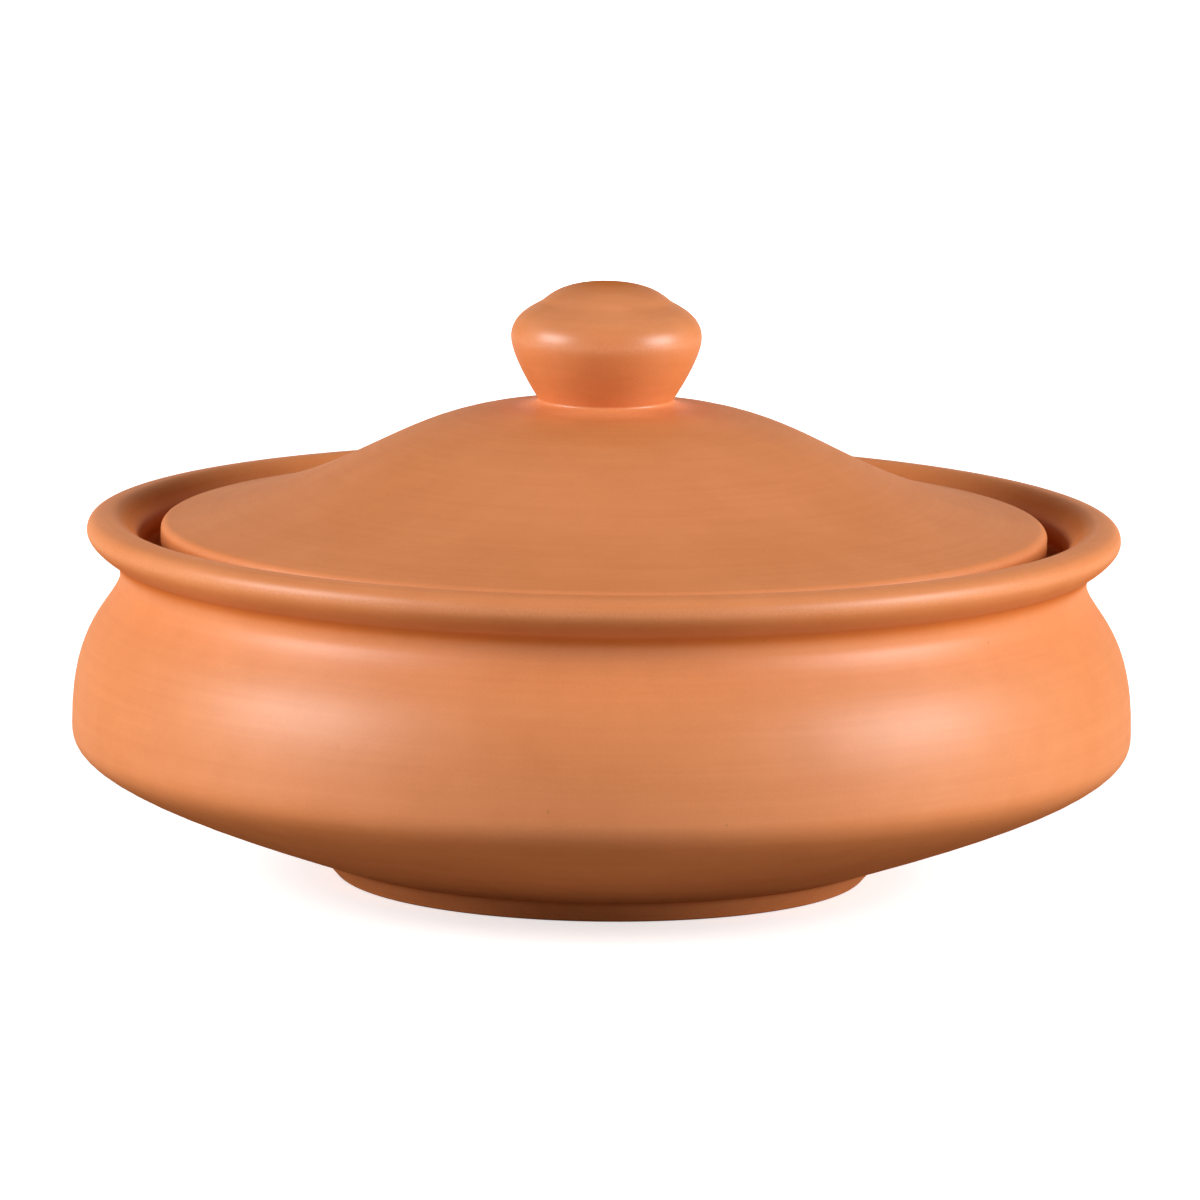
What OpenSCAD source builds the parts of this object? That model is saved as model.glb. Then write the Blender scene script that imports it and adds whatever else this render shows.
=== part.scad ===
// Lidded bowl of unglazed terracotta. A low bowl with a sharp belly and a flared rim
// stands on a foot ring, and a domed lid with a turned knob drops into a gallery inside
// the rim. Every piece is a profile turned about Z. Sizes are in millimetres, angles in
// degrees, and the table is at Z = 0. A pull is the share of its span over which a curve
// keeps the direction that it leaves an end with: a small pull turns sharply there.

/* [Foot ring] */
// Diameter of the foot ring where it joins the bowl
foot_d = 127.8; // [110:0.2:140]
// How far the foot ring draws in on its way down to the table
foot_taper = 4.4; // [0:0.1:7]
// Height of the foot ring
foot_h = 5; // [4:0.1:9]
// Width of the foot ring where it joins the bowl
foot_w = 13; // [12:0.5:20]
// Radius of the edges that meet the table
foot_edge_r = 2; // [0.5:0.1:2.5]

/* [Bowl] */
// Diameter of the bowl at its widest line
belly_d = 240; // [230:1:280]
// Height of the widest line above the table
belly_z = 35.4; // [30:0.2:42]
// Diameter at the neck, where the lines of the shoulder and the lip meet
neck_d = 216.3; // [200:0.1:225]
// Height of the neck above the table
neck_z = 70.4; // [62:0.2:80]
// Radius of the hollow at the neck
neck_r = 5.3; // [0.5:0.1:6]
// Thickness of the wall
wall_t = 6; // [4:0.1:7.5]
// Thickness of the floor
floor_t = 6; // [4:0.1:10]
// Radius between the floor and the wall
floor_r = 30; // [5:1:60]

/* [Curve of the bowl] */
// Slope of the wall where it leaves the foot
rise_a = 18.5; // [12:0.1:22]
// Pull of the wall where it leaves the foot
rise_pull = 1.03; // [0.6:0.01:1.1]
// Pull of the turn below the widest line
turn_pull = 0.53; // [0.3:0.01:0.9]
// Pull of the belly above the widest line
belly_pull = 0.6; // [0.3:0.005:0.7]
// Lean of the shoulder where it reaches the neck
lean_a = 70; // [45:0.5:80]
// Pull of the shoulder where it reaches the neck
lean_pull = 0.2; // [0.1:0.01:0.5]

/* [Rim] */
// How far the lip stands out past the neck
lip_out = 8.7; // [5:0.1:14]
// Height of the lip's outermost line above the neck
lip_z = 7.9; // [7:0.1:12]
// Height of the rim's top above the neck
rim_h = 11.55; // [10:0.05:17]
// Width of the rim's top, from the lip inwards
crest_w = 5.4; // [4:0.1:9]
// Angle at which the lip leaves the neck
flare_a = 32; // [20:1:70]
// Pull of the lip's underside at both its ends
flare_pull = 0.27; // [0.1:0.01:0.6]
// Pull of the lip's upper edge
lip_pull = 0.9; // [0.4:0.05:1]
// Pull of the rim's top towards the lip
crest_pull = 0.38; // [0.1:0.01:0.8]
// Pull of the rim's inner slope at both its ends
slope_pull = 0.4; // [0.1:0.01:0.9]

/* [Gallery that holds the lid] */
// Wall between the neck and the gallery
gallery_t = 3.95; // [3:0.05:6]
// Height of the ledge above the neck
ledge_rise = 2.4; // [1:0.1:5]
// Width of the ledge
ledge_w = 10.2; // [8:0.1:14]
// Thickness of the ledge at its nose
ledge_t = 5.5; // [5:0.1:8]
// Radius of the ledge's nose
nose_r = 2; // [0.5:0.1:2.3]
// Radius in the corner between the ledge and the gallery's wall
corner_r = 1.2; // [0.3:0.1:2]
// Height of the hollow curve under the ledge
cove_h = 6; // [3:0.5:10]

/* [Lid] */
// Gap all round between the lid and the gallery's wall
lid_gap = 4; // [1:0.1:5]
// Height of the lid's edge above the ledge
lid_edge_h = 7.6; // [6.5:0.1:10]
// Rise of the lid from its edge to the knob
lid_rise = 26.6; // [18:0.2:40]
// Thickness of the lid's dome
lid_t = 6.4; // [4:0.1:7.5]
// Width of the flat ring that the lid rests on
lid_seat_w = 8; // [7:0.1:12]
// Width of the slope from that ring up to the hollow of the dome
lid_slope_w = 3; // [2:0.1:8]
// Radius of the lid's upper edge
lid_edge_r = 2.4; // [0.5:0.1:3]
// Radius of the lid's lower edge
lid_foot_r = 1; // [0.3:0.1:2]
// Slope of the dome at the edge
eave_a = 11; // [5:0.5:18]
// Pull of the dome at the edge
eave_pull = 0.555; // [0.3:0.005:0.7]
// Slope of the dome at the knob
crown_a = 6; // [0:0.5:12]
// Pull of the dome at the knob
crown_pull = 0.37; // [0.2:0.01:0.6]

/* [Knob] */
// Diameter of the knob at its widest
knob_d = 43.1; // [36:0.1:60]
// Height of the knob
knob_h = 28.3; // [26.5:0.1:36]
// Height of the knob's widest line above the lid
knob_wide_z = 15.9; // [10:0.1:20]
// Diameter of the knob's foot on the lid
knob_foot_d = 43; // [33:0.5:50]
// Slope of the skirt at the knob's foot
skirt_a = 12.5; // [0:0.5:30]
// Pull of the skirt at the knob's foot
skirt_pull = 0.75; // [0.3:0.01:1]
// Diameter of the knob's waist
knob_waist_d = 31; // [24:0.2:34]
// Height of the waist above the lid
knob_waist_z = 2.2; // [1.5:0.1:5]
// Diameter at the shoulder, where the cap starts
knob_cap_d = 28.8; // [20:0.2:34]
// Height of the shoulder above the lid
knob_cap_z = 24.1; // [20:0.1:25.5]
// Angle of the knob's flank at the waist
flank_a = 57.5; // [45:0.5:80]
// Pull of the flank at the waist
flank_pull = 0.61; // [0.3:0.01:0.8]
// Pull of the knob below its widest line
under_pull = 0.16; // [0.05:0.01:0.4]
// Pull of the knob above its widest line
over_pull = 0.64; // [0.4:0.01:0.8]
// Slope of the shoulder
cap_a = 39.5; // [20:0.5:60]
// Pull of the shoulder on its outer side
shoulder_pull = 0.23; // [0.1:0.01:0.4]
// Pull of the shoulder on its inner side
cap_pull = 0.6; // [0.3:0.01:0.8]
// Pull of the cap at the top
top_pull = 0.66; // [0.4:0.01:0.9]

/* [Hidden] */
$fn = 144;
clay = [0.86, 0.54, 0.36];
curve_steps = 24;
arc_steps = 6;
same_point = 0.01;

foot_r = foot_d / 2;
belly_r = belly_d / 2;
neck = [neck_d / 2, neck_z];
lip = neck + [lip_out, lip_z];
crest = neck + [lip_out - crest_w, rim_h];
throat_r = neck.x - gallery_t;
ledge_z = neck_z + ledge_rise;
mouth_r = throat_r - ledge_w;
floor_z = foot_h + floor_t;
lid_r = throat_r - lid_gap;
lid_edge_z = ledge_z + lid_edge_h;
knob_z = lid_edge_z + lid_rise;
knob_foot_r = knob_foot_d / 2;

// A step of length l in direction a
function along(a, l = 1) = l * [cos(a), sin(a)];

function unit(v) = v / norm(v);

// A cubic curve from a to d, with b and c as its handles
function curve(a, b, c, d) = [for (i = [0 : curve_steps]) let (t = i / curve_steps, s = 1 - t)
    s * s * s * a + 3 * s * s * t * b + 3 * s * t * t * c + t * t * t * d];

// An arc of radius r in the corner at b, on the way from a to c
function rounded(a, b, c, r) =
    let (u = unit(a - b), v = unit(c - b), half = acos(u * v) / 2,
         centre = b + unit(u + v) * r / sin(half),
         start = b + u * r / tan(half) - centre,
         sweep = (cross(u, v) > 0 ? -1 : 1) * acos(-u * v))
    [for (i = [0 : arc_steps]) let (t = sweep * i / arc_steps)
        centre + [start.x * cos(t) - start.y * sin(t), start.x * sin(t) + start.y * cos(t)]];

// A curve moved by d to the left of its course
function moved(p, d) = [for (i = [0 : len(p) - 1])
    let (course = unit(p[min(i + 1, len(p) - 1)] - p[max(i - 1, 0)]))
    p[i] + d * [-course.y, course.x]];

// A run of points without those that repeat the one before
function joined(p) = [for (i = [0 : len(p) - 1])
    if (i == 0 || norm(p[i] - p[max(i - 1, 0)]) > same_point) p[i]];

function backwards(p) = [for (i = [len(p) - 1 : -1 : 0]) p[i]];

function last(p) = p[len(p) - 1];

module turned(profile) color(clay) rotate_extrude() polygon(joined(profile));

// The bowl's outside, from the foot to the neck
wide = [belly_r, belly_z];
crease = [foot_r, foot_h];
turn_corner = crease + along(rise_a, (belly_r - foot_r) / cos(rise_a));
shoulder_h = neck_z - belly_z;
neck_arc = rounded(neck + along(-lean_a), neck, neck + along(flare_a), neck_r);
outside = concat(
    curve(crease, crease + rise_pull * (turn_corner - crease),
          wide + turn_pull * (turn_corner - wide), wide),
    curve(wide, wide + along(90, belly_pull * shoulder_h),
          neck_arc[0] + along(-lean_a, lean_pull * shoulder_h), neck_arc[0]));

// The rim, from the neck over the lip and the crest to the foot of the inner slope
slope_end = [throat_r, ledge_z + corner_r];
slope = crest - slope_end;
rim = concat(
    neck_arc,
    curve(last(neck_arc), last(neck_arc) + along(flare_a, flare_pull * lip_z),
          lip - along(90, flare_pull * lip_z), lip),
    curve(lip, lip + along(90, lip_pull * (crest.y - lip.y)),
          crest + along(0, crest_pull * crest_w), crest),
    curve(crest, crest - along(0, slope_pull * slope.x),
          slope_end + along(90, slope_pull * slope.y), slope_end));

// The ledge that carries the lid, from the gallery's corner round the nose
nose_top = [mouth_r, ledge_z];
nose_foot = nose_top - along(90, ledge_t);
ledge = concat(
    rounded(slope_end, [throat_r, ledge_z], nose_top, corner_r),
    rounded([throat_r, ledge_z], nose_top, nose_foot, nose_r),
    rounded(nose_top, nose_foot, nose_foot + along(0), nose_r));

// The bowl's inside, from under the ledge down to the floor, kept a full wall from the outside
wall_foot = crease + along(rise_a + 90, wall_t);
floor_edge = wall_foot + along(rise_a, (floor_z - wall_foot.y) / sin(rise_a));
floor_arc = rounded(floor_edge + along(rise_a), floor_edge, [0, floor_z], floor_r);
inside = backwards([for (p = moved(joined(outside), wall_t))
    if (p.x > floor_arc[0].x && p.y < nose_foot.y - cove_h
        && min([for (q = outside) norm(p - q)]) > wall_t - same_point) p]);
cove_reach = (inside[0].x - last(ledge).x) / 2;
cove = curve(last(ledge), last(ledge) + along(0, cove_reach),
             inside[0] + unit(inside[0] - inside[1]) * cove_h / 2, inside[0]);

module bowl() turned(concat([[0, foot_h]], outside, rim, ledge, cove, inside, floor_arc, [[0, floor_z]]));

// The foot ring is luted to the bowl's flat underside, face to face
module foot_ring() {
    base_r = foot_r - foot_taper;
    inner_r = foot_r - foot_w;
    outer_corner = [base_r, 0];
    inner_corner = [inner_r, 0];
    turned(concat(
        [crease, [inner_r, foot_h]],
        rounded([inner_r, foot_h], inner_corner, outer_corner, foot_edge_r),
        rounded(inner_corner, outer_corner, crease, foot_edge_r)));
}

// The lid's dome is an ogee: hollow at the edge and full at the crown
lid_corner = [lid_r, lid_edge_z];
lid_foot = [lid_r, ledge_z];
lid_seat_edge = [lid_r - lid_seat_w, ledge_z];
knob_seat = [knob_foot_r, knob_z];
dome_run = lid_r - knob_foot_r;
lid_arc = rounded(lid_corner - along(-eave_a), lid_corner, lid_foot, lid_edge_r);
dome = curve(knob_seat, knob_seat + along(-crown_a, crown_pull * dome_run),
             lid_arc[0] - along(-eave_a, eave_pull * dome_run), lid_arc[0]);
under = moved(dome, -lid_t);
hollow_r = lid_seat_edge.x - lid_slope_w;
hollow = concat([for (p = under) if (p.x < hollow_r) p], [[hollow_r, lookup(hollow_r, under)]]);

module lid() turned(concat(
    [[0, knob_z]], dome, lid_arc,
    rounded(lid_corner, lid_foot, lid_seat_edge, lid_foot_r),
    rounded(lid_foot, lid_seat_edge, last(hollow), lid_foot_r),
    backwards(hollow), [[0, hollow[0].y]]));

// The knob is luted to the flat top of the lid, with a hollow skirt at its foot
module knob() {
    waist = [knob_waist_d / 2, knob_z + knob_waist_z];
    widest = [knob_d / 2, knob_z + knob_wide_z];
    cap = [knob_cap_d / 2, knob_z + knob_cap_z];
    top = [0, knob_z + knob_h];
    flank_h = widest.y - waist.y;
    over_h = cap.y - widest.y;
    turned(concat(
        [[0, knob_z]],
        curve(knob_seat, knob_seat - along(-skirt_a, skirt_pull * (knob_seat.x - waist.x)),
              waist - along(flank_a, knob_waist_z / 2), waist),
        curve(waist, waist + along(flank_a, flank_pull * flank_h),
              widest - along(90, under_pull * flank_h), widest),
        curve(widest, widest + along(90, over_pull * over_h),
              cap + along(-cap_a, shoulder_pull * over_h), cap),
        curve(cap, cap - along(-cap_a, cap_pull * (top.y - cap.y)),
              top + along(0, top_pull * cap.x), top)));
}

bowl();
foot_ring();
lid();
knob();
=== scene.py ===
from math import cos, pi, radians, sin, tan

import bpy
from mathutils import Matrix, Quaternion, Vector


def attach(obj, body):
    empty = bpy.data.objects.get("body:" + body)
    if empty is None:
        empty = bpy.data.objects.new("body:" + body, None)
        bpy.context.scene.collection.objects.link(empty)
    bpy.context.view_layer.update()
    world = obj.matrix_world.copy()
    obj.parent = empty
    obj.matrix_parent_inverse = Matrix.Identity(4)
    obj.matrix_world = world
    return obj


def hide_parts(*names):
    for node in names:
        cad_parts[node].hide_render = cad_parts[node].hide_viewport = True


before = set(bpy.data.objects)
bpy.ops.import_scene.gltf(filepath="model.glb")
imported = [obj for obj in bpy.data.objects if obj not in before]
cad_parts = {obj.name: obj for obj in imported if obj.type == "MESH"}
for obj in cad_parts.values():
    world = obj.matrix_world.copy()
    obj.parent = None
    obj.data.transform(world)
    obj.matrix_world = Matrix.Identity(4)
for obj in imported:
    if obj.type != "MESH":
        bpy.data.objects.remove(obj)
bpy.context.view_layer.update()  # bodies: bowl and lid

scene = bpy.context.scene
mm = 0.001
white = (1, 1, 1, 1)
print("stage: frame loaded,", len(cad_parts), "nodes")

# Camera, a long lens a little above the lid's edge
cameraPlace = {
    "aim": (-0.7, 0.0, 62.7),  # mm
    "elevation": 9.30,  # degrees
    "distance": 2400.0,  # mm
    "lens": 318.0,
    "film": 36.0,
    "lean": 0.73,  # degrees, the picture leans to the right
    "reach": (0.05, 50.0),  # m, nearest and farthest that is drawn
}


def addCamera(place):
    rise = radians(place["elevation"])
    back = Vector((0, -cos(rise), sin(rise)))
    turn = (-back).to_track_quat("-Z", "Y") @ Quaternion((0, 0, 1), radians(place["lean"]))
    bpy.ops.object.camera_add(location=(Vector(place["aim"]) + back * place["distance"]) * mm,
                              rotation=turn.to_euler())
    camera = bpy.context.object
    camera.name = "viewCamera"
    camera.data.sensor_width = place["film"]
    camera.data.lens = place["lens"]
    camera.data.clip_start, camera.data.clip_end = place["reach"]
    scene.camera = camera


addCamera(cameraPlace)
print("stage: camera")


# Half-sections are drawn in mm, as radius and height. A line is a list of curve points,
# each with its place, the handle back and the handle ahead
closeBy = 0.001  # mm, nearer places count as one


def at(radius, height):
    return Vector((radius, height))


def toward(angle, length=1.0):
    return at(cos(radians(angle)), sin(radians(angle))) * length


def startAt(place):
    return [[place, place, place]]


def curveTo(line, ahead, back, place):
    line[-1][2] = ahead
    line.append([place, back, place])


def lineTo(line, place):
    last = line[-1][0]
    curveTo(line, last.lerp(place, 1 / 3), place.lerp(last, 1 / 3), place)


def cornerEnds(before, corner, after, radius):
    half = (before - corner).angle(after - corner) / 2
    reach = radius / tan(half)
    return corner + (before - corner).normalized() * reach, corner + (after - corner).normalized() * reach


# An arc over a corner, reached by a straight line where the line still ends before it
def roundCorner(line, corner, after, radius):
    first, last = cornerEnds(line[-1][0], corner, after, radius)
    if (first - line[-1][0]).length > closeBy:
        lineTo(line, first)
    half = (first - corner).angle(last - corner) / 2
    pull = 4 / 3 * tan((pi - 2 * half) / 4) * tan(half)  # handles that make a curve an arc
    curveTo(line, first.lerp(corner, pull), last.lerp(corner, pull), last)


# Pieces are turned as on the wheel: the half-section becomes a curve, which is spun about the axis
wheel = {
    "weld": 1e-6,  # m, nearer points are merged
    "crease": 35.0,  # degrees, sharper edges stay sharp
}


def clearSelection():
    if bpy.context.object and bpy.context.object.mode != "OBJECT":
        bpy.ops.object.mode_set(mode="OBJECT")
    bpy.ops.object.select_all(action="DESELECT")


def drawSection(name, line, smooth):
    clearSelection()
    bpy.ops.curve.primitive_bezier_curve_add(location=(0, 0, 0))
    section = bpy.context.object
    section.name = name
    knots = section.data.splines[0].bezier_points
    knots.add(len(line) - len(knots))
    for knot, (place, back, ahead) in zip(knots, line):
        knot.handle_left_type = knot.handle_right_type = "FREE"
        knot.co = Vector((place.x, 0, place.y)) * mm
        knot.handle_left = Vector((back.x, 0, back.y)) * mm
        knot.handle_right = Vector((ahead.x, 0, ahead.y)) * mm
    section.data.resolution_u = smooth
    bpy.ops.object.convert(target="MESH")
    return bpy.context.object


def turnOnWheel(piece, steps):
    bpy.ops.object.mode_set(mode="EDIT")
    bpy.ops.mesh.select_all(action="SELECT")
    bpy.ops.mesh.remove_doubles(threshold=wheel["weld"])
    bpy.ops.mesh.spin(steps=steps, angle=2 * pi, center=(0, 0, 0), axis=(0, 0, 1))
    bpy.ops.mesh.select_all(action="SELECT")
    bpy.ops.mesh.remove_doubles(threshold=wheel["weld"])
    bpy.ops.mesh.normals_make_consistent(inside=False)
    bpy.ops.object.mode_set(mode="OBJECT")
    bpy.ops.object.shade_smooth_by_angle(angle=radians(wheel["crease"]))
    return piece


def makeTurned(form, line, body, node):
    piece = turnOnWheel(drawSection(form["name"], line, form["smooth"]), form["steps"])
    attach(piece, body)
    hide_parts(node)
    print("stage:", form["name"], len(piece.data.polygons), "faces")
    return piece


# Forms are in mm and degrees. A pull is how far a handle reaches as a share of its stretch,
# and a reach or an ease is the same in mm
bowlForm = {
    "name": "bowlBody",
    "steps": 240,
    "smooth": 16,
    "footRadius": 63.9,  # crease over the foot
    "footHeight": 5.0,
    "bellyRadius": 119.96,
    "bellyHeight": 35.4,
    "riseAngle": 18.5,  # of the cone between foot and belly
    "risePull": 1.031,
    "turnPull": 0.53,
    "bellyPull": 0.6,
    "leanAngle": 70.0,  # of the shoulder under the neck
    "leanPull": 0.2,
    "neckRadius": 108.15,
    "neckHeight": 70.4,
    "neckRound": 5.3,
    "flareAngle": 32.0,  # from the neck out to the lip
    "flarePull": 0.27,
    "lipOut": 8.7,  # from the neck
    "lipRise": 7.9,
    "lipPull": 0.9,
    "rimRise": 11.55,  # from the neck
    "crestIn": 5.4,  # from the lip
    "crestPull": 0.38,
    "slopePull": 0.4,
    "galleryIn": 3.95,  # from the neck
    "galleryRound": 1.2,
    "ledgeRise": 2.4,  # from the neck
    "ledgeWidth": 10.2,
    "ledgeThick": 5.5,
    "noseRound": 2.0,
    "coveRadius": 105.41,  # where the hollow under the ledge runs into the wall
    "coveDrop": 6.03,
    "coveAngle": 60.4,
    "coveEase": 3.0,
    "covePull": 0.366,
    "wall": 5.95,
    "wallDrop": 1.01,  # the inside is widest a little under the belly
    "wallPull": 0.645,
    "wallTurnPull": 0.285,
    "wallRisePull": 0.481,
    "floorRadius": 62.92,
    "floorThick": 6.0,
    "floorRound": 30.0,
}
throatRadius = bowlForm["neckRadius"] - bowlForm["galleryIn"]
ledgeHeight = bowlForm["neckHeight"] + bowlForm["ledgeRise"]


def bowlSection(form):
    crease = at(form["footRadius"], form["footHeight"])
    belly = at(form["bellyRadius"], form["bellyHeight"])
    neck = at(form["neckRadius"], form["neckHeight"])
    line = startAt(at(0, crease.y))
    lineTo(line, crease)

    # Outside: the cone, the belly, the neck, the lip and the crest of the rim
    turn = at(belly.x, crease.y + (belly.x - crease.x) * tan(radians(form["riseAngle"])))
    curveTo(line, crease + (turn - crease) * form["risePull"],
            belly + (turn - belly) * form["turnPull"], belly)
    lean, flare = toward(-form["leanAngle"]), toward(form["flareAngle"])
    neckStart, neckEnd = cornerEnds(neck + lean, neck, neck + flare, form["neckRound"])
    shoulder = neck.y - belly.y
    curveTo(line, belly + at(0, form["bellyPull"] * shoulder),
            neckStart + lean * form["leanPull"] * shoulder, neckStart)
    roundCorner(line, neck, neck + flare, form["neckRound"])
    lip = neck + at(form["lipOut"], form["lipRise"])
    flareReach = form["flarePull"] * form["lipRise"]
    curveTo(line, neckEnd + flare * flareReach, lip - at(0, flareReach), lip)
    crest = neck + at(form["lipOut"] - form["crestIn"], form["rimRise"])
    curveTo(line, lip + at(0, form["lipPull"] * (crest.y - lip.y)),
            crest + at(form["crestPull"] * form["crestIn"], 0), crest)

    # Inside the rim: down into the gallery, along the ledge and round its nose
    gallery = at(throatRadius, ledgeHeight)
    slopeEnd = gallery + at(0, form["galleryRound"])
    slope = (crest - slopeEnd) * form["slopePull"]
    curveTo(line, crest - at(slope.x, 0), slopeEnd + at(0, slope.y), slopeEnd)
    noseTop = gallery - at(form["ledgeWidth"], 0)
    noseFoot = noseTop - at(0, form["ledgeThick"])
    roundCorner(line, gallery, noseTop, form["galleryRound"])
    roundCorner(line, noseTop, noseFoot, form["noseRound"])
    roundCorner(line, noseFoot, noseFoot + toward(0), form["noseRound"])

    # Inside of the wall and the floor
    ledgeEnd = line[-1][0]
    cove = at(form["coveRadius"], noseFoot.y - form["coveDrop"])
    down = toward(-form["coveAngle"])
    curveTo(line, ledgeEnd + at((cove.x - ledgeEnd.x) / 2, 0), cove - down * form["coveEase"], cove)
    wide = belly - at(form["wall"], form["wallDrop"])
    upper = cove.y - wide.y
    curveTo(line, cove + down * form["covePull"] * upper, wide + at(0, form["wallPull"] * upper), wide)
    floorCorner = at(form["floorRadius"], crease.y + form["floorThick"])
    axis = at(0, floorCorner.y)
    rise = toward(form["riseAngle"])
    floorEdge = cornerEnds(floorCorner + rise, floorCorner, axis, form["floorRound"])[0]
    lower = wide.y - floorEdge.y
    curveTo(line, wide - at(0, form["wallTurnPull"] * lower),
            floorEdge + rise * form["wallRisePull"] * lower, floorEdge)
    roundCorner(line, floorCorner, axis, form["floorRound"])
    lineTo(line, axis)
    return line


bowlBody = makeTurned(bowlForm, bowlSection(bowlForm), "bowl", "bowl")

footForm = {
    "name": "footRing",
    "steps": 240,
    "smooth": 10,
    "width": 13.0,
    "taper": 4.4,
    "edgeRound": 2.0,
}


def footSection(form):
    crease = at(bowlForm["footRadius"], bowlForm["footHeight"])
    inner, outer = at(crease.x - form["width"], 0), at(crease.x - form["taper"], 0)
    line = startAt(crease)
    lineTo(line, at(inner.x, crease.y))
    roundCorner(line, inner, outer, form["edgeRound"])
    roundCorner(line, outer, crease, form["edgeRound"])
    lineTo(line, crease)
    return line


footRing = makeTurned(footForm, footSection(footForm), "bowl", "foot_ring")

lidForm = {
    "name": "lidDome",
    "steps": 240,
    "smooth": 20,
    "gap": 4.0,  # all round in the gallery
    "edgeHeight": 7.6,
    "edgeRound": 2.4,
    "rise": 26.6,
    "crownRadius": 21.5,  # flat that carries the knob
    "crownAngle": 6.0,
    "crownPull": 0.37,
    "eaveAngle": 11.0,
    "eavePull": 0.555,
    "seatWidth": 8.0,
    "seatRound": 1.0,
    "hollowIn": 3.0,  # from the seat
    "hollowRise": 3.38,
    "hollowAngle": 13.3,
    "hollowReach": 15.25,
    "middle": (49.88, 91.11),  # of the hollow's slope
    "middleAngle": 26.7,
    "middleReach": (15.14, 11.32),
    "roofRadius": 20.82,
    "roofHeight": 100.64,
    "roofAngle": 6.08,
    "roofReach": 11.62,
}
lidRadius = throatRadius - lidForm["gap"]
crown = at(lidForm["crownRadius"], ledgeHeight + lidForm["edgeHeight"] + lidForm["rise"])


def lidSection(form):
    line = startAt(at(0, crown.y))
    lineTo(line, crown)

    # Dome, edge and seat
    eave = at(lidRadius, ledgeHeight + form["edgeHeight"])
    foot = at(lidRadius, ledgeHeight)
    upward = toward(180 - form["eaveAngle"])
    eaveStart = cornerEnds(eave + upward, eave, foot, form["edgeRound"])[0]
    run = lidRadius - crown.x
    curveTo(line, crown + toward(-form["crownAngle"], form["crownPull"] * run),
            eaveStart + upward * form["eavePull"] * run, eaveStart)
    seatEnd = foot - at(form["seatWidth"], 0)
    hollow = seatEnd + at(-form["hollowIn"], form["hollowRise"])
    roundCorner(line, eave, foot, form["edgeRound"])
    roundCorner(line, foot, seatEnd, form["seatRound"])
    roundCorner(line, seatEnd, hollow, form["seatRound"])
    lineTo(line, hollow)

    # Hollow underneath
    middle, roof = at(*form["middle"]), at(form["roofRadius"], form["roofHeight"])
    slope = toward(-form["middleAngle"])
    before, after = form["middleReach"]
    curveTo(line, hollow + toward(180 - form["hollowAngle"], form["hollowReach"]),
            middle + slope * before, middle)
    curveTo(line, middle - slope * after, roof + toward(-form["roofAngle"], form["roofReach"]), roof)
    lineTo(line, at(0, roof.y))
    return line


lidDome = makeTurned(lidForm, lidSection(lidForm), "lid", "lid")

knobForm = {
    "name": "lidKnob",
    "steps": 192,
    "smooth": 24,
    "height": 28.3,
    "skirtAngle": 3.5,
    "skirtPull": 0.818,
    "waistRadius": 15.5,
    "waistRise": 2.2,
    "waistPull": 0.5,
    "flankAngle": 57.5,
    "flankPull": 0.61,
    "wideRadius": 21.55,
    "wideRise": 15.9,
    "underPull": 0.16,
    "overPull": 0.64,
    "capRadius": 14.4,
    "capRise": 24.1,
    "capAngle": 39.5,
    "shoulderPull": 0.23,
    "capPull": 0.6,
    "topPull": 0.66,
}


def knobSection(form):
    waist = at(form["waistRadius"], crown.y + form["waistRise"])
    wide = at(form["wideRadius"], crown.y + form["wideRise"])
    cap = at(form["capRadius"], crown.y + form["capRise"])
    top = at(0, crown.y + form["height"])
    flank, fall = toward(form["flankAngle"]), toward(-form["capAngle"])
    under, over = wide.y - waist.y, cap.y - wide.y
    line = startAt(at(0, crown.y))
    lineTo(line, crown)
    curveTo(line, crown + toward(180 - form["skirtAngle"], form["skirtPull"] * (crown.x - waist.x)),
            waist - flank * form["waistPull"] * form["waistRise"], waist)
    curveTo(line, waist + flank * form["flankPull"] * under, wide - at(0, form["underPull"] * under), wide)
    curveTo(line, wide + at(0, form["overPull"] * over), cap + fall * form["shoulderPull"] * over, cap)
    curveTo(line, cap - fall * form["capPull"] * (top.y - cap.y), top + at(form["topPull"] * cap.x, 0), top)
    return line


lidKnob = makeTurned(knobForm, knobSection(knobForm), "lid", "knob")


# Shader helpers: a value in "sockets" that is itself a socket is linked, any other is set
def fillSockets(tree, node, sockets):
    for key, value in sockets.items():
        if isinstance(value, bpy.types.NodeSocket):
            tree.links.new(value, node.inputs[key])
        else:
            node.inputs[key].default_value = value


def addNode(tree, kind, sockets, **settings):
    node = tree.nodes.new("ShaderNode" + kind)
    for name, value in settings.items():
        setattr(node, name, value)
    fillSockets(tree, node, sockets)
    return node


def sums(tree, operation, first, second=0.0, third=0.0):
    return addNode(tree, "Math", {0: first, 1: second, 2: third}, operation=operation).outputs[0]


def mixed(tree, factor, first, second):
    mix = addNode(tree, "Mix", {"Factor": factor, "A": first, "B": second}, data_type="RGBA")
    return mix.outputs["Result"]


def fade(tree, value, start, end, low=0.0, high=1.0, kind="LINEAR"):
    sockets = {"Value": value, "From Min": start, "From Max": end, "To Min": low, "To Max": high}
    return addNode(tree, "MapRange", sockets, interpolation_type=kind).outputs[0]


def newGroup(name, numbers, output):
    group = bpy.data.node_groups.new(name, "ShaderNodeTree")
    group.interface.new_socket("Place", in_out="INPUT", socket_type="NodeSocketVector")
    for label, value in numbers.items():
        socket = group.interface.new_socket(label, in_out="INPUT", socket_type="NodeSocketFloat")
        socket.default_value = value
    group.interface.new_socket(output, in_out="OUTPUT", socket_type="NodeSocketFloat")
    return group, group.nodes.new("NodeGroupInput").outputs, group.nodes.new("NodeGroupOutput").inputs


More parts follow.
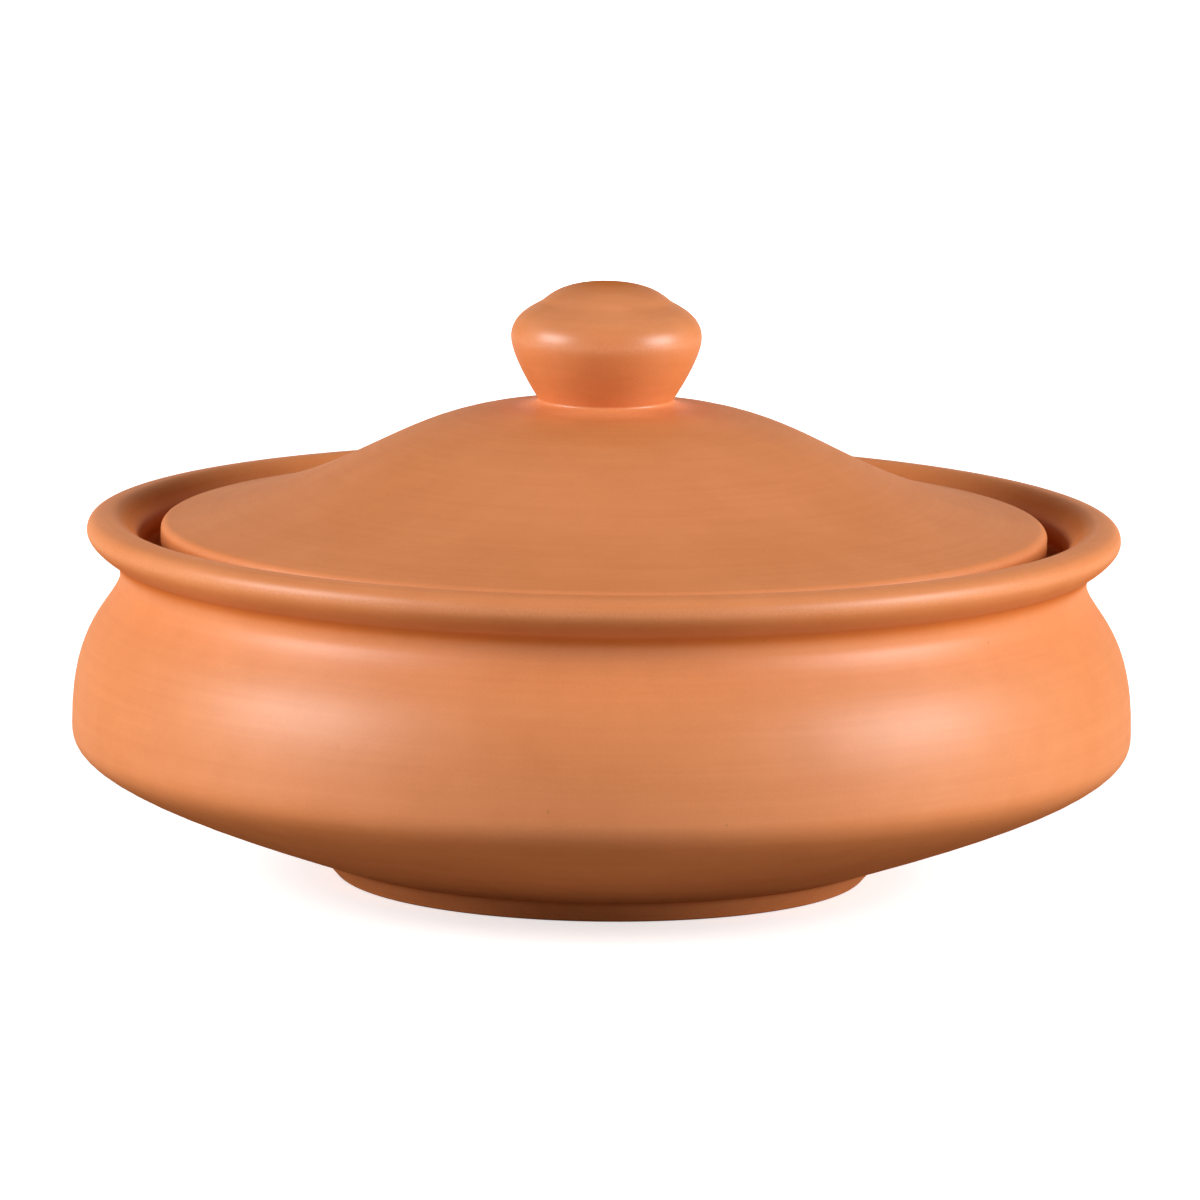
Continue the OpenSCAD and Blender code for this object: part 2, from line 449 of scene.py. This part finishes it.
def useGroup(tree, group, sockets):
    node = tree.nodes.new("ShaderNodeGroup")
    node.node_tree = group
    fillSockets(tree, node, sockets)
    return node.outputs[0]


def distanceFromAxis(tree, part):
    flat = addNode(tree, "CombineXYZ", {0: part[0], 1: part[1]}).outputs[0]
    return addNode(tree, "VectorMath", {0: flat}, operation="LENGTH").outputs["Value"]


# Fine lines round the axis, left by the wheel; the angle goes in as a circle, so there is no seam
def makeWheelLines():
    group, given, out = newGroup("wheelLines", {"Fineness": 600.0, "Drift": 1.5}, "Lines")
    part = addNode(group, "SeparateXYZ", {0: given["Place"]}).outputs
    reach = distanceFromAxis(group, part)
    across = sums(group, "MULTIPLY", reach, given["Fineness"])
    up = sums(group, "MULTIPLY", part[2], given["Fineness"])
    east = sums(group, "MULTIPLY", sums(group, "DIVIDE", part[0], reach), given["Drift"])
    north = sums(group, "MULTIPLY", sums(group, "DIVIDE", part[1], reach), given["Drift"])
    spot = addNode(group, "CombineXYZ", {0: across, 1: up, 2: east}).outputs[0]
    noise = addNode(group, "TexNoise", {"Vector": spot, "W": north, "Scale": 1.0, "Detail": 3.0,
                                        "Roughness": 0.6}, noise_dimensions="4D")
    group.links.new(noise.outputs[0], out[0])
    return group


# Fine sandy grain of the clay body
def makeClayGrain():
    group, given, out = newGroup("clayGrain", {"Fineness": 2400.0}, "Grain")
    noise = addNode(group, "TexNoise", {"Vector": given["Place"], "Scale": given["Fineness"],
                                        "Detail": 3.0, "Roughness": 0.7})
    group.links.new(noise.outputs[0], out[0])
    return group


# Broad and small clouds of colour from the firing
def makeFiringClouds():
    smallShare = 0.4
    group, given, out = newGroup("firingClouds", {"Broad": 24.0, "Small": 110.0}, "Cloud")
    broad = addNode(group, "TexNoise", {"Vector": given["Place"], "Scale": given["Broad"], "Detail": 3.0})
    small = addNode(group, "TexNoise", {"Vector": given["Place"], "Scale": given["Small"], "Detail": 4.0,
                                        "Roughness": 0.6})
    both = sums(group, "MULTIPLY", broad.outputs[0], 1 - smallShare)
    both = sums(group, "MULTIPLY_ADD", small.outputs[0], smallShare, both)
    group.links.new(both, out[0])
    return group


# Sparse pin pores and dark specks: only some cells of a fine Voronoi pattern carry one
def makeClayPores():
    group, given, out = newGroup("clayPores", {"Fineness": 260.0, "Share": 0.12, "Width": 0.16}, "Pores")
    cells = addNode(group, "TexVoronoi", {"Vector": given["Place"], "Scale": given["Fineness"]})
    pick = addNode(group, "SeparateXYZ", {0: cells.outputs["Color"]}).outputs
    chosen = sums(group, "LESS_THAN", pick[0], given["Share"])
    size = sums(group, "MULTIPLY", pick[1], given["Width"])
    near = fade(group, cells.outputs["Distance"], size, 0.0, kind="SMOOTHSTEP")
    group.links.new(sums(group, "MULTIPLY", chosen, near), out[0])
    return group


# Soft band about a ring of a given radius and height, for worn edges and painted light, painted shade in
# hollows and creases, and matt places
def makeRingBand():
    group, given, out = newGroup("ringBand", {"Radius": 0.1, "Height": 0.05, "Spread": 0.004}, "Band")
    part = addNode(group, "SeparateXYZ", {0: given["Place"]}).outputs
    outward = sums(group, "SUBTRACT", distanceFromAxis(group, part), given["Radius"])
    upward = sums(group, "SUBTRACT", part[2], given["Height"])
    offset = addNode(group, "CombineXYZ", {0: outward, 1: upward}).outputs[0]
    away = addNode(group, "VectorMath", {0: offset}, operation="LENGTH").outputs["Value"]
    group.links.new(fade(group, away, given["Spread"], 0.0, kind="SMOOTHSTEP"), out[0])
    return group


wheelLines = makeWheelLines()
clayGrain = makeClayGrain()
firingClouds = makeFiringClouds()
clayPores = makeClayPores()
ringBand = makeRingBand()
print("stage: effects")

# What all the clays share
clayMix = {
    "paintedShadeShare": 0.50,  # share of the painted shade in the hollows
    "specked": 0.45,  # share of the dark specks
    "wearAndLightGrain": 1.6,  # worn edges and the painted light at the knob's foot break up along the grain
    "wearAndLightStart": 0.5,
    "grainRough": 0.16,
    "cloudRough": 0.08,
    "wearAndLightRough": 0.10,
    "facing": (0.25, 0.62),  # the sheen fades as the surface turns away over this stretch
    "streaks": 0.3,  # in the sheen, from the rubbing
}

# Rings, depths and the polish are in mm, a ring as radius, height and spread
turnedLook = {
    "name": "turnedClay",
    "deep": (0.660, 0.212, 0.066, 1),
    "pale": (0.810, 0.292, 0.105, 1),
    "speck": (0.36, 0.105, 0.038, 1),
    "paintedShade": (0.66, 0.166, 0.020, 1),
    "wornAndLitTone": (0.82, 0.330, 0.150, 1),
    "clouds": 1.3, "lines": 0.5, "grain": 0.7,
    "roughness": 0.47, "gloss": 1.0, "glance": 0.35, "skinIor": 1.5,
    "lineDepth": 0.010, "grainDepth": 0.007, "poreDepth": 0.05,
    "fineness": 620.0,
    # painted shade: darker under the lip at the neck, in the gallery and in the crease over the foot
    "paintedShadeRings": [(110.3, 72.0, 3.4), (102.6, 73.6, 6.0), (63.9, 5.0, 4.0)],
    "matt": [(107.5, 80.0, 5.0), (103.0, 74.5, 6.0), (115.2, 75.4, 4.8)],
    "edges": [(116.9, 78.6, 1.8)],
    "polish": (27.0, 33.0),  # rubbed smooth from the belly upwards
}
lidLook = dict(turnedLook, name="lidClay", glance=0.30, paintedShadeRings=[], matt=[(100.2, 75.5, 4.5)],
               edges=[(100.0, 79.4, 1.2)])
handledLook = dict(turnedLook, name="handledClay", roughness=0.40,  # smoothed by fingers
                   # the ring on the knob's top is painted shade, darker towards the top
                   glance=0.28, skinIor=1.54, paintedShadeRings=[(0.0, 135.3, 14.0)], matt=[],
                   # the second edge ring paints light in the worn tone on the fillet at the knob's foot
                   edges=[(21.6, 123.0, 2.0), (17.5, 107.4, 4.0)])
rawLook = {
    "name": "rawClay",
    "deep": (0.730, 0.228, 0.072, 1),
    "pale": (0.880, 0.325, 0.122, 1),
    "speck": (0.36, 0.115, 0.045, 1),
    "paintedShade": (0.60, 0.172, 0.055, 1),
    "wornAndLitTone": (0.82, 0.350, 0.170, 1),
    "clouds": 1.5, "lines": 0.9, "grain": 1.2,
    "roughness": 0.72, "gloss": 0.24, "glance": 0.25, "skinIor": 1.5,
    "lineDepth": 0.030, "grainDepth": 0.016, "poreDepth": 0.10,
    "fineness": 380.0,
    # painted shade in the crease over the foot ring and in its inner corner
    "paintedShadeRings": [(63.9, 5.0, 1.6), (50.9, 5.0, 3.0)],
    "matt": [],
    "edges": [(55.7, 0.0, 4.5)],
}
innerLook = {
    "name": "innerClay",
    "deep": (0.650, 0.215, 0.074, 1),
    "pale": (0.800, 0.300, 0.122, 1),
    "speck": (0.36, 0.110, 0.040, 1),
    "paintedShade": (0.58, 0.165, 0.054, 1),
    "wornAndLitTone": (0.82, 0.330, 0.150, 1),
    "clouds": 1.5, "lines": 1.1, "grain": 0.9,
    "roughness": 0.60, "gloss": 0.60, "glance": 0.25, "skinIor": 1.5,
    "lineDepth": 0.090, "grainDepth": 0.010, "poreDepth": 0.08,
    "fineness": 210.0,
    # painted shade in the corner of the floor and under the ledge
    "paintedShadeRings": [(58.0, 11.0, 9.0), (100.0, 67.0, 7.0)],
    "matt": [],
    "edges": [(94.6, 72.2, 2.2), (92.4, 72.9, 1.6)],
}


def bandsOf(tree, place, rings):
    total = 0.0
    for radius, height, spread in rings:
        band = useGroup(tree, ringBand, {"Place": place, "Radius": radius * mm, "Height": height * mm,
                                         "Spread": spread * mm})
        total = sums(tree, "MAXIMUM", band, total)
    return total


def makeClay(look):
    clay = bpy.data.materials.new(look["name"])
    clay.use_nodes = True
    tree = clay.node_tree
    shader = tree.nodes["Principled BSDF"]
    place = addNode(tree, "TexCoord", {}).outputs["Object"]
    lines = useGroup(tree, wheelLines, {"Place": place, "Fineness": look["fineness"]})
    grain = useGroup(tree, clayGrain, {"Place": place})
    cloud = useGroup(tree, firingClouds, {"Place": place})
    pores = useGroup(tree, clayPores, {"Place": place})
    # hollow is the mask of painted shade; edge is the mask of wear, and of painted light at the knob's foot
    hollow = bandsOf(tree, place, look["paintedShadeRings"])
    edge = bandsOf(tree, place, look["edges"])
    matt = bandsOf(tree, place, look["paintedShadeRings"] + look["matt"])

    # Colour: clouds, lines and grain vary about the middle between the deep and the pale clay; then hollows
    # and creases take painted shade, edge rings the worn tone (wear, and painted light at the knob's foot),
    # and pores the specks
    weight = look["clouds"] + look["lines"] + look["grain"]
    tone = sums(tree, "MULTIPLY_ADD", cloud, look["clouds"], 0.5 - weight / 2)
    tone = sums(tree, "MULTIPLY_ADD", lines, look["lines"], tone)
    tone = sums(tree, "MULTIPLY_ADD", grain, look["grain"], tone)
    colour = mixed(tree, tone, look["deep"], look["pale"])
    colour = mixed(tree, sums(tree, "MULTIPLY", hollow, clayMix["paintedShadeShare"]), colour, look["paintedShade"])
    wearAndLight = sums(tree, "MULTIPLY_ADD", grain, clayMix["wearAndLightGrain"], -clayMix["wearAndLightStart"])
    wearAndLight = addNode(tree, "Clamp", {"Value": sums(tree, "MULTIPLY", edge, wearAndLight)}).outputs[0]
    colour = mixed(tree, wearAndLight, colour, look["wornAndLitTone"])
    colour = mixed(tree, sums(tree, "MULTIPLY", pores, clayMix["specked"]), colour, look["speck"])
    tree.links.new(colour, shader.inputs["Base Color"])

    # Roughness: grain and clouds vary about the look's own value, and the worn rings, with the painted
    # light ring at the knob's foot, add to it
    smoothest = look["roughness"] - (clayMix["grainRough"] + clayMix["cloudRough"]) / 2
    rough = sums(tree, "MULTIPLY_ADD", grain, clayMix["grainRough"], smoothest)
    rough = sums(tree, "MULTIPLY_ADD", cloud, clayMix["cloudRough"], rough)
    rough = sums(tree, "MULTIPLY_ADD", wearAndLight, clayMix["wearAndLightRough"], rough)
    tree.links.new(rough, shader.inputs["Roughness"])

    # Sheen: a rubbed skin as a coat over matt clay; open pores dull it at a glancing view
    shader.inputs["Specular IOR Level"].default_value = 0.0
    shader.inputs["Coat Roughness"].default_value = look["roughness"]
    shader.inputs["Coat IOR"].default_value = look["skinIor"]
    facing = addNode(tree, "LayerWeight", {}).outputs["Facing"]
    skin = fade(tree, facing, *clayMix["facing"], look["gloss"], look["glance"] * look["gloss"])
    skin = sums(tree, "MULTIPLY", skin, sums(tree, "SUBTRACT", 1.0, matt))
    streaks = sums(tree, "MULTIPLY_ADD", lines, clayMix["streaks"], 1 - clayMix["streaks"] / 2)
    skin = sums(tree, "MULTIPLY", skin, streaks)
    if "polish" in look:
        height = addNode(tree, "SeparateXYZ", {0: place}).outputs[2]
        start, end = look["polish"]
        skin = sums(tree, "MULTIPLY", skin, fade(tree, height, start * mm, end * mm))
    tree.links.new(skin, shader.inputs["Coat Weight"])

    relief = None
    for height, depth, invert in ((lines, "lineDepth", False), (grain, "grainDepth", False),
                                  (pores, "poreDepth", True)):
        sockets = {"Height": height, "Distance": look[depth] * mm, "Strength": 1.0}
        if relief:
            sockets["Normal"] = relief
        relief = addNode(tree, "Bump", sockets, invert=invert).outputs[0]
    tree.links.new(relief, shader.inputs["Normal"])
    return clay


turnedClay = makeClay(turnedLook)
lidClay = makeClay(lidLook)
handledClay = makeClay(handledLook)
rawClay = makeClay(rawLook)
innerClay = makeClay(innerLook)

# Where one clay ends and the next begins, in mm; leans are parts of a face's normal
claySides = {
    "rawRadius": 64.0,
    "rawHeight": 5.1,
    "insideHeight": 71.0,
    "insideLean": 0.02,
    "noseRadius": 96.0,
    "noseHeights": (60.0, 72.7),
    "lidLean": -0.1,
}


# Each face takes the clay of its side, by its radius, height and facing
def dressPiece(piece, clays, pick):
    piece.data.materials.clear()
    for clay in clays:
        piece.data.materials.append(clay)
    for face in piece.data.polygons:
        out = Vector((face.center.x, face.center.y, 0))
        outward, upward = face.normal.dot(out.normalized()), face.normal.z
        face.material_index = pick(out.length / mm, face.center.z / mm, outward, upward)


def bowlSide(radius, height, outward, upward):
    if height < claySides["rawHeight"] and radius < claySides["rawRadius"]:
        return 1
    lowest, highest = claySides["noseHeights"]
    nose = radius < claySides["noseRadius"] and lowest < height < highest
    inside = outward < claySides["insideLean"] and height < claySides["insideHeight"]
    return 2 if inside or nose else 0


def lidSide(radius, height, outward, upward):
    return 1 if min(upward, outward) < claySides["lidLean"] else 0


def oneSide(radius, height, outward, upward):
    return 0


dressPiece(bowlBody, (turnedClay, rawClay, innerClay), bowlSide)
dressPiece(footRing, (rawClay,), oneSide)
dressPiece(lidDome, (lidClay, innerClay), lidSide)
dressPiece(lidKnob, (handledClay,), oneSide)
print("stage: clay")

# Floor and light: two soft boxes at the sides and a weak fill behind the pot
floorLook = {
    "reach": 6.0,  # m
    "wall": 3.0,  # m
    "bend": 1.0,  # m
    "facets": 16,
    "roughness": 0.9,
    "lit": (0.90, 0.90, 0.90, 1),
    "bounce": (0.43, 0.40, 0.375, 1),
    "glow": 0.62,  # near the pot, where the shadow lies
    "clear": (0.35, 1.2),  # m, the glow grows to white over this stretch
    "patch": (0.060, 0.046),  # m, a faint light patch hidden under the foot, for looks from below
    "patchGlow": 0.17,
}
airLook = {"fill": 0.03}
lampPlace = {"reach": 1.3, "height": 0.06}  # m, all lamps aim at the middle of the pot
lampLook = {
    "leftBox": {"azimuth": -70, "elevation": 21, "size": (0.7, 0.5), "power": 16.3, "mirrored": True},
    "rightBox": {"azimuth": 70, "elevation": 18.5, "size": (0.7, 0.5), "power": 17.7, "mirrored": True},
    "backFill": {"azimuth": 180, "elevation": 8, "size": (0.8, 0.4), "power": 5.0, "mirrored": False},
}


def seenDirectly(tree):
    path = addNode(tree, "LightPath", {}).outputs
    seen = sums(tree, "MAXIMUM", path["Is Camera Ray"], path["Is Glossy Ray"])
    return sums(tree, "MAXIMUM", seen, path["Is Transmission Ray"])


def makePaper(look):
    paper = bpy.data.materials.new("palePaper")
    paper.use_nodes = True
    tree = paper.node_tree
    shader = tree.nodes["Principled BSDF"]
    seen = seenDirectly(tree)
    shader.inputs["Roughness"].default_value = look["roughness"]
    shader.inputs["Specular IOR Level"].default_value = 0.0
    shader.inputs["Emission Color"].default_value = white
    tree.links.new(mixed(tree, seen, look["bounce"], look["lit"]), shader.inputs["Base Color"])

    # Where it is seen directly the paper glows towards white; for other rays only the patch glows
    place = addNode(tree, "TexCoord", {}).outputs["Object"]
    away = addNode(tree, "VectorMath", {0: place}, operation="LENGTH").outputs["Value"]
    glow = fade(tree, away, *look["clear"], look["glow"], 1.0)
    patch = fade(tree, away, *look["patch"], 0.0, look["patchGlow"])
    patch = sums(tree, "MULTIPLY", sums(tree, "SUBTRACT", 1.0, seen), patch)
    tree.links.new(sums(tree, "MULTIPLY_ADD", seen, glow, patch), shader.inputs["Emission Strength"])

    # From below the camera looks through the floor
    cameraRay = addNode(tree, "LightPath", {}).outputs["Is Camera Ray"]
    below = sums(tree, "MULTIPLY", cameraRay, addNode(tree, "NewGeometry", {}).outputs["Backfacing"])
    clear = addNode(tree, "BsdfTransparent", {}).outputs[0]
    both = addNode(tree, "MixShader", {0: below, 1: shader.outputs[0], 2: clear}).outputs[0]
    tree.links.new(both, tree.nodes["Material Output"].inputs["Surface"])
    return paper


def pickEdges(floor, test):
    bpy.ops.object.mode_set(mode="OBJECT")
    for edge in floor.data.edges:
        edge.select = all(test(floor.data.vertices[i].co) for i in edge.vertices)
    bpy.ops.object.mode_set(mode="EDIT")


def addFloor(look):
    clearSelection()
    bpy.ops.mesh.primitive_plane_add(size=look["reach"], location=(0, 0, 0))
    floor = bpy.context.object
    floor.name = "paleFloor"
    bpy.ops.object.mode_set(mode="EDIT")
    bpy.ops.mesh.select_mode(type="EDGE")
    bpy.ops.mesh.select_all(action="DESELECT")
    pickEdges(floor, lambda spot: spot.y > 0)
    bpy.ops.mesh.extrude_region_move(TRANSFORM_OT_translate={"value": (0, 0, look["wall"])})
    pickEdges(floor, lambda spot: spot.y > 0 and spot.z < look["wall"] / 2)
    bpy.ops.mesh.bevel(offset=look["bend"], segments=look["facets"], affect="EDGES")
    bpy.ops.object.mode_set(mode="OBJECT")
    bpy.ops.object.shade_smooth()
    floor.data.materials.append(makePaper(look))


def addLamp(name, look):
    turn, rise = radians(look["azimuth"]), radians(look["elevation"])
    away = Vector((sin(turn) * cos(rise), -cos(turn) * cos(rise), sin(rise)))
    middle = Vector((0, 0, lampPlace["height"]))
    bpy.ops.object.light_add(type="AREA", location=middle + away * lampPlace["reach"],
                             rotation=(-away).to_track_quat("-Z", "Y").to_euler())
    lamp = bpy.context.object
    lamp.name = name
    lamp.data.shape = "RECTANGLE"
    lamp.data.size, lamp.data.size_y = look["size"]
    lamp.data.energy = look["power"]
    lamp.visible_camera = False
    lamp.visible_glossy = look["mirrored"]


def addAir(look):
    scene.world = bpy.data.worlds.new("studioAir")
    scene.world.use_nodes = True
    tree = scene.world.node_tree
    sky = tree.nodes["Background"]
    sky.inputs["Color"].default_value = white
    strength = addNode(tree, "Mix", {"Factor": seenDirectly(tree), "A": look["fill"], "B": 1.0})
    tree.links.new(strength.outputs["Result"], sky.inputs["Strength"])


addFloor(floorLook)
for lampName, lamp in lampLook.items():
    addLamp(lampName, lamp)
addAir(airLook)
scene.view_settings.view_transform = "Standard"
print("stage: floor and light")

print("stage: done")
